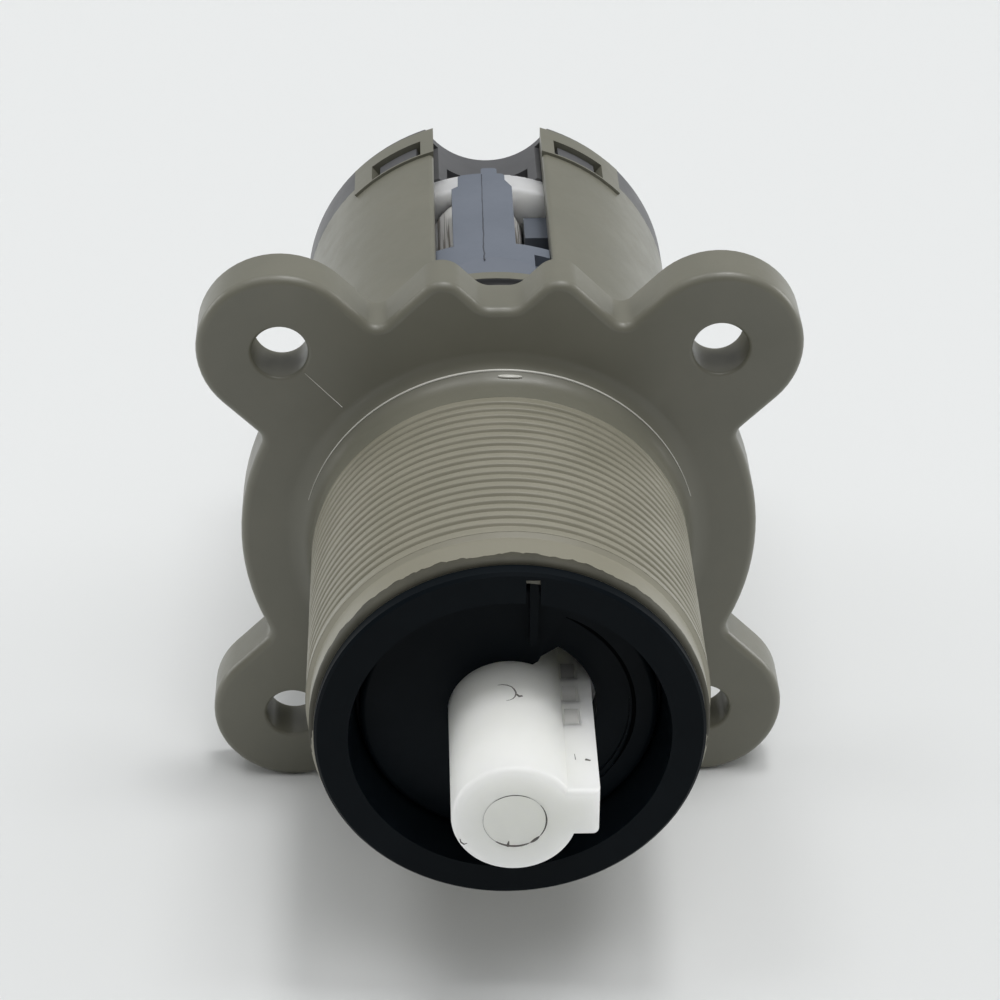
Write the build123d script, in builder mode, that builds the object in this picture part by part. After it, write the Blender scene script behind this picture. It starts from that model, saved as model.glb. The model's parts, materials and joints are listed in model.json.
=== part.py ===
"""Pressure-balance shower valve cartridge, in millimetres.

The stem turns about the Y axis and points forward, to -Y.  +X is to the right and +Z is up when the
cartridge is looked at from its front.  Y = 0 is the flange's rear face, which seats on the valve body.
Bodies of revolution are drawn in the XY plane as (radius, y) outlines and turned about the Y axis.
"""
from build123d import *
from math import asin, cos, degrees, hypot, radians, sin, sqrt
import os

os.makedirs("parts", exist_ok=True)

# Flange with four screw ears
flange_thickness = 5.6
flange_radius = 28.5
flange_edge_round = 1.0
ear_pitch = 47.0
ear_radius = 9.0
ear_hole_radius = 3.0
ear_hole_round = 0.4
ear_root_fillet = 1.6
bump_spacing = 12.4
bump_radius = 2.7
bump_rise = 3.1
bump_flank_drop = 5.5
bump_root_fillet = 2.4

# Threaded collar, 1-5/8 inch with 18 threads to the inch
thread_major_radius = 41.275 / 2
thread_pitch = 25.4 / 18
thread_depth_ratio = 0.6134
collar_length = 36.0
nose_length = 4.6
nose_drop = 0.44
first_crest_width = 0.8
collar_base_band = 4.8
collar_base_fillet = 3.0
collar_chamfer = 0.45
collar_wall = 3.04

# Stem bearing inside the collar
neck_wall = 3.45
web_thickness = 4.0
web_rear = -5.0

# Rear shell
shell_radius = 22.5
shell_length = 50.4
seal_bore_wall = 4.0
drum_bore_wall = 2.4
bore_step_y = 14.0
window_half_width = 6.6
window_front_y = 14.6
window_edge_round = 0.5
tab_length = 4.0
tab_rise = 0.35
tab_step_width = 0.25
tab_outer_angle = 45.5
slot_setback = 2.4
slot_width = 3.75
slot_inner_angle = 21.0
slot_outer_angle = 38.3
body_groove_y = 9.4
body_groove_width = 3.7
body_groove_depth = 2.3
body_oring_section = 3.0

# Bonnet and limit stop in the collar's mouth
bonnet_flange_setback = 0.5
bonnet_flange_thickness = 1.6
bonnet_edge_chamfer = 0.3
bonnet_floor_thickness = 3.2
bonnet_hole_radius = 9.3
recess_mouth_wall = 1.3
recess_root_wall = 2.05
recess_depth = 7.0
snap_bead_lead = 0.1
snap_bead_height = 0.25
snap_bead_width = 1.4
snap_groove_clearance = 0.1
notch_left_x = 1.4
notch_width = 1.45
notch_rim_wall = 0.7975
stop_thickness = 2.4
stop_rim_clearance = 0.3
stop_edge_round = 0.7
stop_step_radius = 12.8
stop_step_start = 65.0
stop_step_depth = 0.3
stop_step_width = 0.5
stop_end_gap = 0.1
stop_rib_height = 1.0
stop_rib_width = 0.85
stop_rib_inner_z = 8.7

# Stem, with its travel either way from the position that is modelled
turn_to_closed = 34.0
turn_to_hot = 105.0
stem_radius = 6.15
stem_reach = 18.0
stem_edge_round = 0.8
gate_mark_radius = 3.1
gate_mark_depth = 0.25
fin_tip_x = 8.2
fin_bottom_z = -2.0
fin_top_z = 3.4
fin_corner_round = 0.5
tooth_count = 3
tooth_pitch = 3.95
tooth_length = 3.2
tooth_depth = 0.9
tooth_width = 1.9
tooth_centre_x = 6.0
first_tooth_from_tip = 11.1
shoulder_radius = 12.0
shoulder_thickness = 2.9
barrel_radius = 8.0
stem_groove_depth = 1.5
stem_groove_width = 2.2
stem_groove_pitch = 7.0
stem_groove_inset = 4.0
tang_width = 6.0
tang_radius = 6.2
washer_thickness = 1.0

# Ceramic discs and their drive
coupling_clearance = 2.5
coupling_thickness = 3.5
dog_inset = 3.4
dog_width = 5.0
dog_depth = 4.0
dog_height = 2.0
moving_disc_inset = 1.0
moving_disc_thickness = 3.3
mixing_recess_depth = 1.6
mixing_recess_sweep = 140.0
fixed_disc_clearance = 0.7
fixed_disc_thickness = 4.5
disc_gap = 0.03
disc_port_width = 5.0
disc_port_sweep = 38.0
key_lug_width = 4.0
key_lug_reach = 3.0
key_lug_depth = 0.9
port_seal_groove_depth = 1.5
port_seal_wall = 1.3

# Carrier
spigot_clearance = 0.1
spigot_groove_width = 2.4
spigot_groove_depth = 1.8
spigot_groove_y = 9.6
drum_clearance = 0.15
drum_rear_y = 27.0
pad_setback = 1.2
pad_side_gap = 0.1
pad_front_y = 15.4
pad_right_x = 4.7
pad_slope_y = 20.7
pad_front_drop = 1.5
pad_step_y = 22.1
pad_rear_y = 24.2
arm_left_x = -4.55
arm_right_x = 2.65
arm_thickness = 1.2
arm_shoulder_setback = 2.7
shoulder_length_left = 0.5
shoulder_length_right = 1.7
head_inset = 0.8
head_overrun = 0.65
head_chamfer = 0.35
nub_width = 1.9
nub_centre_x = 0.0
nub_round = 0.4
nub_overrun = 2.1
outlet_port_angle = -90.0
port_spacing_angle = 60.0
port_seal_gap = 1.2
port_lug_wall = 1.0
column_wall = 2.0
support_width = 4.0
support_side_gap = 0.2
support_drop = 4.35
support_length = 5.4
cross_port_radius = 1.4
hot_cross_y = 19.3
cold_cross_y = 23.8

# Balance unit
sleeve_centre_x = -1.4
sleeve_cover = 1.75
sleeve_radius = 5.4
sleeve_bore_radius = 3.6
sleeve_fit = 0.03
sleeve_front_y = 15.0
sleeve_recess = 0.9
sleeve_groove_depth = 0.9
sleeve_groove_width = 1.2
sleeve_groove_gap = 0.3
sleeve_plate_inset = 0.8
spool_fit = 0.03
spool_travel = 2.2
spool_spare = 0.15
spool_waist_radius = 2.2
land_length = 4.2
spool_end_bore_radius = 1.8
spool_end_bore_depth = 3.0
plug_length = 2.4
plug_socket_radius = 1.2

# Inlet plate, end cap and inlet fittings
plate_setback = 8.4
plate_thickness = 3.9
plate_clearance = 0.25
plate_edge_round = 0.5
cap_spigot_clearance = 0.1
cap_thickness = 5.5
cap_notch_radius = 8.75
cap_notch_rise = 3.0
cap_relief_inner_x = 2.6
cap_relief_outer_x = 4.95
cap_relief_apex_drop = 5.5
cap_relief_slant = 0.6
cap_relief_top_drop = 2.1
cap_relief_depth = 4.3
hook_setback = 0.3
hook_side_clearance = 2.0
hook_end_clearance = 0.2
tab_end_clearance = 0.25
tab_side_clearance = 0.5
cap_edge_round = 0.5
plate_seal_thickness = 1.2
plate_seal_wall = 2.4
inlet_seal_width = 1.8
inlet_seal_pocket = 2.4
inlet_seal_rise = 0.6
inlet_seal_ledge = 0.4
inlet_seal_round = 0.4
inlet_port_ledge = 0.5
inlet_port_depth = 3.6
screen_ledge = 0.7
screen_thickness = 0.6
screen_hole = 1.1
screen_pitch = 1.7
screen_rows = 5

# Named clearances shared by pieces that fit together
running_gap = 0.05
oring_gap = 0.02
plug_gap = 0.05

# How far a cut runs past what it cuts, and how deep a joined form runs into its neighbour
cut_margin = 1.0
join_depth = 0.5
edge_tolerance = 0.02

# Radii that follow from the sizes above
thread_root_radius = thread_major_radius - thread_depth_ratio * thread_pitch
collar_bore_radius = thread_major_radius - collar_wall
nose_radius = thread_major_radius - nose_drop
bonnet_flange_radius = nose_radius - bonnet_flange_setback
bonnet_plug_radius = collar_bore_radius - plug_gap
recess_mouth_radius = bonnet_plug_radius - recess_mouth_wall
recess_root_radius = bonnet_plug_radius - recess_root_wall
stop_radius = recess_root_radius - stop_rim_clearance
notch_outer_z = bonnet_flange_radius - notch_rim_wall
neck_bore_radius = barrel_radius + running_gap
neck_radius = neck_bore_radius + neck_wall
fin_sweep_radius = hypot(fin_tip_x, fin_top_z) + 2 * running_gap
seal_bore_radius = shell_radius - seal_bore_wall
drum_bore_radius = shell_radius - drum_bore_wall
body_groove_root = shell_radius - body_groove_depth
spigot_radius = seal_bore_radius - spigot_clearance
coupling_radius = seal_bore_radius - coupling_clearance
moving_disc_radius = coupling_radius - moving_disc_inset
dog_circle_radius = coupling_radius - dog_inset
fixed_disc_radius = seal_bore_radius - fixed_disc_clearance
key_lug_inner_z = fixed_disc_radius - key_lug_depth
tab_radius = shell_radius + tab_rise
# Three ports 60 degrees apart, so that their circle's radius is also the way from one to the next
port_circle_radius = (2 * (key_lug_inner_z - port_lug_wall) + port_seal_gap) / 3
port_seal_outer = (port_circle_radius - port_seal_gap) / 2
passage_radius = port_seal_outer - port_seal_wall
screen_radius = passage_radius + screen_ledge
inlet_port_radius = screen_radius + inlet_port_ledge
inlet_seal_bore = inlet_port_radius + inlet_seal_ledge
inlet_seal_radius = inlet_seal_bore + inlet_seal_width
drum_radius = drum_bore_radius - drum_clearance
pad_radius = shell_radius - pad_setback
sleeve_centre_z = drum_radius - sleeve_cover - sleeve_radius
support_top_z = drum_radius - support_drop
plate_radius = drum_bore_radius - plate_clearance
cap_spigot_radius = drum_bore_radius - cap_spigot_clearance
cap_notch_centre_z = shell_radius + cap_notch_rise
cap_relief_apex_z = shell_radius - cap_relief_apex_drop
cap_relief_top_z = shell_radius - cap_relief_top_drop
hook_radius = shell_radius - hook_setback

# Stations along the axis that follow from the sizes above
flange_front = -flange_thickness
collar_face = flange_front - collar_length
nose_rear = collar_face + nose_length
first_crest_rear = nose_rear + first_crest_width
bonnet_face = collar_face - bonnet_flange_thickness
stop_seat = bonnet_face + recess_depth
stop_face = stop_seat - stop_thickness
bonnet_rear = stop_seat + bonnet_floor_thickness
washer_rear = bonnet_rear + washer_thickness
shoulder_front = washer_rear + running_gap
shoulder_rear = shoulder_front + shoulder_thickness
neck_front = shoulder_rear + running_gap
web_front = web_rear - web_thickness
stem_tip = stop_face - stem_reach
coupling_front = web_rear + 2 * running_gap
moving_disc_front = coupling_front + coupling_thickness
fixed_disc_front = moving_disc_front + moving_disc_thickness + disc_gap
carrier_front = fixed_disc_front + fixed_disc_thickness
plate_front_y = shell_length - plate_setback
plate_rear = plate_front_y + plate_thickness
support_front_y = plate_front_y - support_length
arm_shoulder_y = plate_front_y - arm_shoulder_setback
head_rear_y = plate_front_y + head_overrun
nub_rear_y = plate_front_y + nub_overrun
slot_y = shell_length - slot_setback
cap_rear = shell_length + cap_thickness
sleeve_rear = plate_rear - sleeve_recess
plug_front = sleeve_rear - plug_length
tab_rear = shell_length + tab_length

# Angles, centres and groups that follow from the sizes above
cold_port_angle = outlet_port_angle + port_spacing_angle
hot_port_angle = outlet_port_angle - port_spacing_angle
closed_corner = turn_to_closed
hot_corner = -turn_to_hot
port_angles = (hot_port_angle, outlet_port_angle, cold_port_angle)
sleeve_centre = (sleeve_centre_x, sleeve_centre_z)
sleeve_grooves = (
    hot_cross_y - cross_port_radius - sleeve_groove_gap - sleeve_groove_width,
    (hot_cross_y + cold_cross_y - sleeve_groove_width) / 2,
    cold_cross_y + cross_port_radius + sleeve_groove_gap,
    plate_front_y + sleeve_plate_inset,
)
sleeve_axis = Axis((sleeve_centre_x, 0, sleeve_centre_z), (0, 1, 0))
cross_drillings = ((hot_port_angle, hot_cross_y), (cold_port_angle, cold_cross_y))
window_angle = degrees(asin(window_half_width / shell_radius))


def front_plane(y):
    """Section across the axis at y, with +X right and +Z up, facing forward (-Y)."""
    return Plane(origin=(0, y, 0), x_dir=(1, 0, 0), z_dir=(0, -1, 0))


def polar(radius, angle):
    """Point of a section at an angle in degrees, counted from +X towards +Z."""
    return (radius * cos(radians(angle)), radius * sin(radians(angle)))


def top_sector(radius, from_top, to_top):
    """Wedge corners between two angles counted from +Z towards +X, out past a radius."""
    reach = radius / cos(radians((to_top - from_top) / 2)) + cut_margin
    return [(0, 0), polar(reach, 90 - from_top), polar(reach, 90 - to_top)]


def sector_copies(radius, from_top, to_top):
    """The same wedge at the top and the bottom of the shell, left and right."""
    for top in (-1, 1):
        for side in (-1, 1):
            wedge = top_sector(radius, from_top, to_top)
            Polygon(*[(side * x, top * z) for x, z in wedge], align=None)


def groove_outline(root, outer, front, width):
    """Section of a ring groove that is open outwards."""
    return ring_outline(root, outer + cut_margin, front, front + width)


def on_ear_flank(edge):
    """Whether an edge along Y lies on the straight side of a screw ear."""
    from_diagonal = abs(abs(edge.center().X) - abs(edge.center().Z)) / sqrt(2)
    return abs(from_diagonal - ear_radius) < edge_tolerance


def on_circle(edge, radius):
    """Whether an edge along Y lies at a radius from the axis."""
    return abs(hypot(edge.center().X, edge.center().Z) - radius) < edge_tolerance


def ring_outline(inner, outer, front, rear):
    """Rectangle of a ring's section as (radius, y) corners."""
    return [(inner, front), (outer, front), (outer, rear), (inner, rear)]


def cross_plane(angle, station):
    """Plane at the balance sleeve's axis that looks towards the passage at an angle."""
    x, z = polar(port_circle_radius, angle)
    towards = (x - sleeve_centre_x, 0, z - sleeve_centre_z)
    return Plane(origin=(sleeve_centre_x, station, sleeve_centre_z), z_dir=towards)


def cross_length(angle):
    """Distance from the balance sleeve's axis to the passage at an angle."""
    x, z = polar(port_circle_radius, angle)
    return hypot(x - sleeve_centre_x, z - sleeve_centre_z)


def ring_port(centre_radius, angle, width, sweep):
    """Curved slot with round ends, centred at an angle on a circle."""
    with BuildLine(mode=Mode.PRIVATE) as middle:
        CenterArc((0, 0), centre_radius, angle - sweep / 2, sweep)
    SlotArc(middle.edge(), width)


inlet_centres = [polar(port_circle_radius, angle) for angle in (hot_port_angle, cold_port_angle)]
column_bottom_z = port_circle_radius * sin(radians(cold_port_angle))

# Housing: flange, threaded collar, stem bearing and rear shell in one moulding
bead_front = stop_seat - snap_bead_lead
bead_rear = bead_front + snap_bead_width
snap_groove_front = bead_front - snap_groove_clearance
snap_groove_rear = bead_rear + snap_groove_clearance
collar_foot_radius = thread_major_radius + collar_base_fillet
collar_foot_front = flange_front - collar_base_fillet
arc_inset = collar_base_fillet * (1 - sqrt(0.5))
ear_distance = ear_pitch / sqrt(2)
bump_tangent = bump_radius / sqrt(2)
bump_base_width = 2 * (bump_tangent + bump_flank_drop)
bump_flank_z = flange_radius + bump_rise - bump_radius + bump_tangent - bump_flank_drop / 2
with BuildPart() as housing:
    with BuildSketch(front_plane(0)):
        Circle(flange_radius)
        for turn in (45, -45):
            SlotCenterToCenter(2 * ear_distance, 2 * ear_radius, rotation=turn)
        # Two bumps at the top, round above and straight at 45 degrees down both sides
        for side in (-1, 1):
            with Locations((side * bump_spacing / 2, flange_radius + bump_rise - bump_radius)):
                Circle(bump_radius)
            with Locations((side * bump_spacing / 2, bump_flank_z)):
                Trapezoid(bump_base_width, bump_flank_drop, 45)
    extrude(amount=flange_thickness)
    roots = edges().filter_by(Axis.Y).filter_by(lambda e: on_circle(e, flange_radius))
    fillet(roots.filter_by(lambda e: not on_ear_flank(e)), bump_root_fillet)
    roots = edges().filter_by(Axis.Y).filter_by(on_ear_flank)
    fillet(roots.filter_by(lambda e: hypot(e.center().X, e.center().Z) < ear_distance), ear_root_fillet)
    fillet(faces().sort_by(Axis.Y)[0].edges(), flange_edge_round)
    with BuildSketch(front_plane(0)):
        with GridLocations(ear_pitch, ear_pitch, 2, 2):
            Circle(ear_hole_radius)
    extrude(amount=flange_thickness, mode=Mode.SUBTRACT)
    circles = edges().filter_by(GeomType.CIRCLE)
    hole_rims = circles.filter_by(lambda e: abs(e.radius - ear_hole_radius) < edge_tolerance)
    fillet(hole_rims.group_by(Axis.Y)[0], ear_hole_round)
    with BuildSketch(Plane.XY):
        with BuildLine():
            Polyline(
                (0, flange_front + join_depth),
                (0, collar_face),
                (nose_radius - collar_chamfer, collar_face),
                (nose_radius, collar_face + collar_chamfer),
                (nose_radius, nose_rear),
                (thread_major_radius, nose_rear),
                (thread_major_radius, first_crest_rear),
                (thread_root_radius, first_crest_rear),
                (thread_root_radius, flange_front - collar_base_band),
                (thread_major_radius, flange_front - collar_base_band),
                (thread_major_radius, collar_foot_front),
            )
            ThreePointArc(
                (thread_major_radius, collar_foot_front),
                (thread_major_radius + arc_inset, flange_front - arc_inset),
                (collar_foot_radius, flange_front),
            )
            Polyline(
                (collar_foot_radius, flange_front),
                (collar_foot_radius, flange_front + join_depth),
                (0, flange_front + join_depth),
            )
        make_face()
    revolve(axis=Axis.Y)
    with BuildSketch(front_plane(tab_rear)):
        Circle(shell_radius)
    extrude(amount=tab_rear - flange_front - join_depth)
    # Outlet windows, open to the rear, at the top and the bottom
    with BuildSketch(front_plane(tab_rear)):
        Rectangle(2 * window_half_width, 2 * (shell_radius + cut_margin))
    extrude(amount=tab_rear - window_front_y, mode=Mode.SUBTRACT)
    rails = edges().filter_by(Axis.Y).filter_by(lambda e: on_circle(e, shell_radius))
    rails = rails.filter_by(lambda e: abs(abs(e.center().X) - window_half_width) < edge_tolerance)
    fillet(rails, window_edge_round)
    # Raised zone of the four snap tabs, beside the windows
    with BuildSketch(front_plane(tab_rear)):
        sector_copies(tab_radius, 0, tab_outer_angle)
        Circle(tab_radius, mode=Mode.INTERSECT)
        Circle(shell_radius - cut_margin, mode=Mode.SUBTRACT)
        Rectangle(2 * window_half_width, 2 * (tab_radius + cut_margin), mode=Mode.SUBTRACT)
    extrude(amount=tab_rear - slot_y + tab_step_width)
    with BuildSketch(Plane.XY):
        Polygon(
            *groove_outline(body_groove_root, shell_radius, body_groove_y, body_groove_width),
            align=None,
        )
        Polygon(*ring_outline(0, drum_bore_radius, bore_step_y, tab_rear), align=None)
        Polygon(*ring_outline(0, seal_bore_radius, web_rear, bore_step_y), align=None)
        Polygon(*ring_outline(0, neck_bore_radius, neck_front, web_rear), align=None)
        Polygon(*ring_outline(neck_radius, collar_bore_radius, neck_front, web_front), align=None)
        Polygon(*ring_outline(0, collar_bore_radius, collar_face, neck_front), align=None)
        snap_groove_radius = collar_bore_radius + snap_bead_height
        Polygon(*ring_outline(0, snap_groove_radius, snap_groove_front, snap_groove_rear), align=None)
    revolve(axis=Axis.Y, mode=Mode.SUBTRACT)
    # The shell itself ends short of the four snap tabs
    with BuildSketch(front_plane(tab_rear)):
        sector_copies(shell_radius, tab_outer_angle, 90)
    extrude(amount=tab_length, mode=Mode.SUBTRACT)
    # One snap slot through each tab
    with BuildSketch(front_plane(slot_y + slot_width)):
        sector_copies(tab_radius, slot_inner_angle, slot_outer_angle)
    extrude(amount=slot_width, mode=Mode.SUBTRACT)
housing.part.label = "housing"
export_step(housing.part, "parts/housing.step")

# Bonnet: black ring snapped into the collar, with a recess and an index notch
bead_radius = bonnet_plug_radius + snap_bead_height
with BuildPart() as bonnet:
    with BuildSketch(Plane.XY):
        Polygon(
            (recess_mouth_radius, bonnet_face),
            (bonnet_flange_radius - bonnet_edge_chamfer, bonnet_face),
            (bonnet_flange_radius, bonnet_face + bonnet_edge_chamfer),
            (bonnet_flange_radius, collar_face),
            (bonnet_plug_radius, collar_face),
            (bonnet_plug_radius, bead_front),
            (bead_radius, bead_front + snap_bead_height),
            (bead_radius, bead_rear - snap_bead_height),
            (bonnet_plug_radius, bead_rear),
            (bonnet_plug_radius, bonnet_rear),
            (bonnet_hole_radius, bonnet_rear),
            (bonnet_hole_radius, stop_seat),
            (recess_root_radius, stop_seat),
            align=None,
        )
    revolve(axis=Axis.Y)
    with BuildSketch(front_plane(stop_face + running_gap)):
        with Locations((notch_left_x + notch_width / 2, (stop_radius + notch_outer_z) / 2)):
            Rectangle(notch_width, notch_outer_z - stop_radius)
    extrude(amount=recess_depth, mode=Mode.SUBTRACT)
bonnet.part.label = "bonnet"
export_step(bonnet.part, "parts/bonnet.step")

# Limit stop: disc on the recess floor, indexed by a rib that reaches into the bonnet's notch.
# The stem's fin turns in its sector, between the full hot end and the closed end.
rib_centre_x = notch_left_x + notch_width - running_gap - stop_rib_width / 2
rib_outer_z = bonnet_plug_radius - stop_rim_clearance
with BuildPart() as limit_stop:
    with BuildSketch(front_plane(stop_seat)):
        Circle(stop_radius)
    extrude(amount=stop_thickness)
    fillet(faces().sort_by(Axis.Y)[0].edges(), stop_edge_round)
    with BuildSketch(front_plane(stop_face)):
        with Locations((rib_centre_x, (stop_rib_inner_z + rib_outer_z) / 2)):
            Rectangle(stop_rib_width, rib_outer_z - stop_rib_inner_z)
    extrude(amount=stop_rib_height)
    # Two shallow steps down towards the sector
    for n in range(2):
        step_radius = stop_step_radius - n * stop_step_width
        step_depth = (n + 1) * stop_step_depth
        with BuildSketch(front_plane(stop_face + step_depth)):
            with BuildLine():
                Line((0, 0), polar(step_radius, stop_step_start))
                CenterArc((0, 0), step_radius, stop_step_start, hot_corner - stop_step_start)
                Line(polar(step_radius, hot_corner), (0, 0))
            make_face()
        extrude(amount=step_depth, mode=Mode.SUBTRACT)
    # Each end wall lies flat against the fin's side when the fin comes up to it
    with BuildSketch(front_plane(stop_seat)):
        Circle(stem_radius + 2 * running_gap)
        with BuildLine():
            Line((0, 0), polar(fin_sweep_radius, closed_corner))
            CenterArc((0, 0), fin_sweep_radius, closed_corner, hot_corner - closed_corner)
            Line(polar(fin_sweep_radius, hot_corner), (0, 0))
        make_face()
        for angle, low, high in (
            (turn_to_closed, 0, fin_top_z + stop_end_gap),
            (-turn_to_hot, fin_bottom_z - stop_end_gap, 0),
        ):
            with Locations(Rotation(0, 0, angle)):
                with Locations((fin_sweep_radius / 2, (low + high) / 2)):
                    Rectangle(fin_sweep_radius, high - low)
        Circle(fin_sweep_radius, mode=Mode.INTERSECT)
    extrude(amount=stop_thickness, mode=Mode.SUBTRACT)
limit_stop.part.label = "limit_stop"
export_step(limit_stop.part, "parts/limit_stop.step")

# Thrust washer between the bonnet and the stem's shoulder
with BuildPart() as thrust_washer:
    with BuildSketch(front_plane(washer_rear)):
        Circle(shoulder_radius)
        Circle(bonnet_hole_radius, mode=Mode.SUBTRACT)
    extrude(amount=washer_thickness)
thrust_washer.part.label = "thrust_washer"
export_step(thrust_washer.part, "parts/thrust_washer.step")

# Stem: round spindle with a toothed fin, a shoulder, a grooved barrel and a driving tang
groove_root = barrel_radius - stem_groove_depth
groove_fronts = [shoulder_rear + stem_groove_inset + n * stem_groove_pitch for n in range(2)]
with BuildPart() as stem:
    with BuildSketch(front_plane(shoulder_front)):
        Circle(stem_radius)
        with Locations((fin_tip_x / 2, (fin_top_z + fin_bottom_z) / 2)):
            Rectangle(fin_tip_x, fin_top_z - fin_bottom_z)
        fillet(vertices().group_by(Axis.X)[-1].sort_by(Axis.Y)[0], fin_corner_round)
    extrude(amount=shoulder_front - stem_tip)
    fillet(faces().sort_by(Axis.Y)[0].edges(), stem_edge_round)
    with BuildSketch(front_plane(stem_tip + gate_mark_depth)):
        Circle(gate_mark_radius)
    extrude(amount=gate_mark_depth, mode=Mode.SUBTRACT)
    # Saw teeth on the fin's upper face, each deepest at its front wall
    for n in range(tooth_count):
        wall_y = stem_tip + first_tooth_from_tip + n * tooth_pitch
        with BuildSketch(Plane.YZ.offset(tooth_centre_x)):
            Polygon(
                (wall_y, fin_top_z - tooth_depth),
                (wall_y, fin_top_z + tooth_depth),
                (wall_y + tooth_length, fin_top_z + tooth_depth),
                (wall_y + tooth_length, fin_top_z),
                align=None,
            )
        extrude(amount=tooth_width / 2, both=True, mode=Mode.SUBTRACT)
    with BuildSketch(Plane.XY):
        Polygon(*ring_outline(0, shoulder_radius, shoulder_front, shoulder_rear), align=None)
        Polygon(*ring_outline(0, barrel_radius, shoulder_rear, web_rear), align=None)
        for front in groove_fronts:
            Polygon(
                *ring_outline(groove_root, barrel_radius, front, front + stem_groove_width),
                align=None,
                mode=Mode.SUBTRACT,
            )
    revolve(axis=Axis.Y)
    with BuildSketch(front_plane(moving_disc_front - 2 * running_gap)):
        Circle(tang_radius)
        Rectangle(2 * tang_radius, tang_width, mode=Mode.INTERSECT)
    extrude(amount=moving_disc_front - 2 * running_gap - web_rear)
stem.part.label = "stem"
export_step(stem.part, "parts/stem.step")

# The barrel's two O-rings, drawn as they sit squeezed in their grooves
for name, front in zip(("stem_oring_front", "stem_oring_rear"), groove_fronts):
    section = (stem_groove_depth - oring_gap) / 2
    with BuildPart() as stem_oring:
        with BuildSketch(Plane.XY):
            with Locations((barrel_radius - section, front + stem_groove_width / 2)):
                Circle(section)
        revolve(axis=Axis.Y)
    stem_oring.part.label = name
    export_step(stem_oring.part, f"parts/{name}.step")

# Drive coupling: takes the stem's tang and drives the upper ceramic disc by two dogs
with BuildPart() as drive_coupling:
    with BuildSketch(front_plane(moving_disc_front)):
        Circle(coupling_radius)
    extrude(amount=coupling_thickness)
    with BuildSketch(front_plane(moving_disc_front + dog_height)):
        for side in (-1, 1):
            with Locations((side * (dog_circle_radius + dog_depth / 2), 0)):
                Rectangle(dog_depth, dog_width)
        Circle(coupling_radius, mode=Mode.INTERSECT)
    extrude(amount=dog_height)
    with BuildSketch(front_plane(moving_disc_front)):
        Circle(tang_radius + running_gap)
        Rectangle(2 * coupling_radius, tang_width + 2 * running_gap, mode=Mode.INTERSECT)
    extrude(amount=coupling_thickness, mode=Mode.SUBTRACT)
drive_coupling.part.label = "drive_coupling"
export_step(drive_coupling.part, "parts/drive_coupling.step")

# Moving ceramic disc, notched for the dogs, with a mixing recess in its lapped face
moving_disc_rear = fixed_disc_front - disc_gap
with BuildPart() as moving_disc:
    with BuildSketch(front_plane(moving_disc_rear)):
        Circle(moving_disc_radius)
        for side in (-1, 1):
            with Locations((side * (dog_circle_radius + dog_depth / 2), 0)):
                Rectangle(dog_depth + 2 * running_gap, dog_width + 2 * running_gap, mode=Mode.SUBTRACT)
    extrude(amount=moving_disc_thickness)
    with BuildSketch(front_plane(moving_disc_rear)):
        ring_port(port_circle_radius, outlet_port_angle, disc_port_width, mixing_recess_sweep)
    extrude(amount=mixing_recess_depth, mode=Mode.SUBTRACT)
moving_disc.part.label = "moving_disc"
export_step(moving_disc.part, "parts/moving_disc.step")

# Fixed ceramic disc: hot, outlet and cold ports, keyed to the carrier at top and bottom
with BuildPart() as fixed_disc:
    with BuildSketch(front_plane(carrier_front)):
        Circle(fixed_disc_radius)
        for side in (-1, 1):
            with Locations((0, side * (key_lug_inner_z - running_gap + fixed_disc_radius / 2))):
                Rectangle(key_lug_width + 2 * running_gap, fixed_disc_radius, mode=Mode.SUBTRACT)
    extrude(amount=fixed_disc_thickness)
    with BuildSketch(front_plane(carrier_front)):
        for angle in port_angles:
            ring_port(port_circle_radius, angle, disc_port_width, disc_port_sweep)
    extrude(amount=fixed_disc_thickness, mode=Mode.SUBTRACT)
fixed_disc.part.label = "fixed_disc"
export_step(fixed_disc.part, "parts/fixed_disc.step")

# Three rubber rings that seal the carrier's passages to the fixed disc
seal_inner = passage_radius + oring_gap
with BuildPart() as port_seals:
    with BuildSketch(front_plane(carrier_front + port_seal_groove_depth)):
        for angle in port_angles:
            with Locations(polar(port_circle_radius, angle)):
                Circle(port_seal_outer - oring_gap)
                Circle(seal_inner, mode=Mode.SUBTRACT)
    extrude(amount=port_seal_groove_depth)
port_seals.part.label = "port_seals"
export_step(port_seals.part, "parts/port_seals.step")

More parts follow.
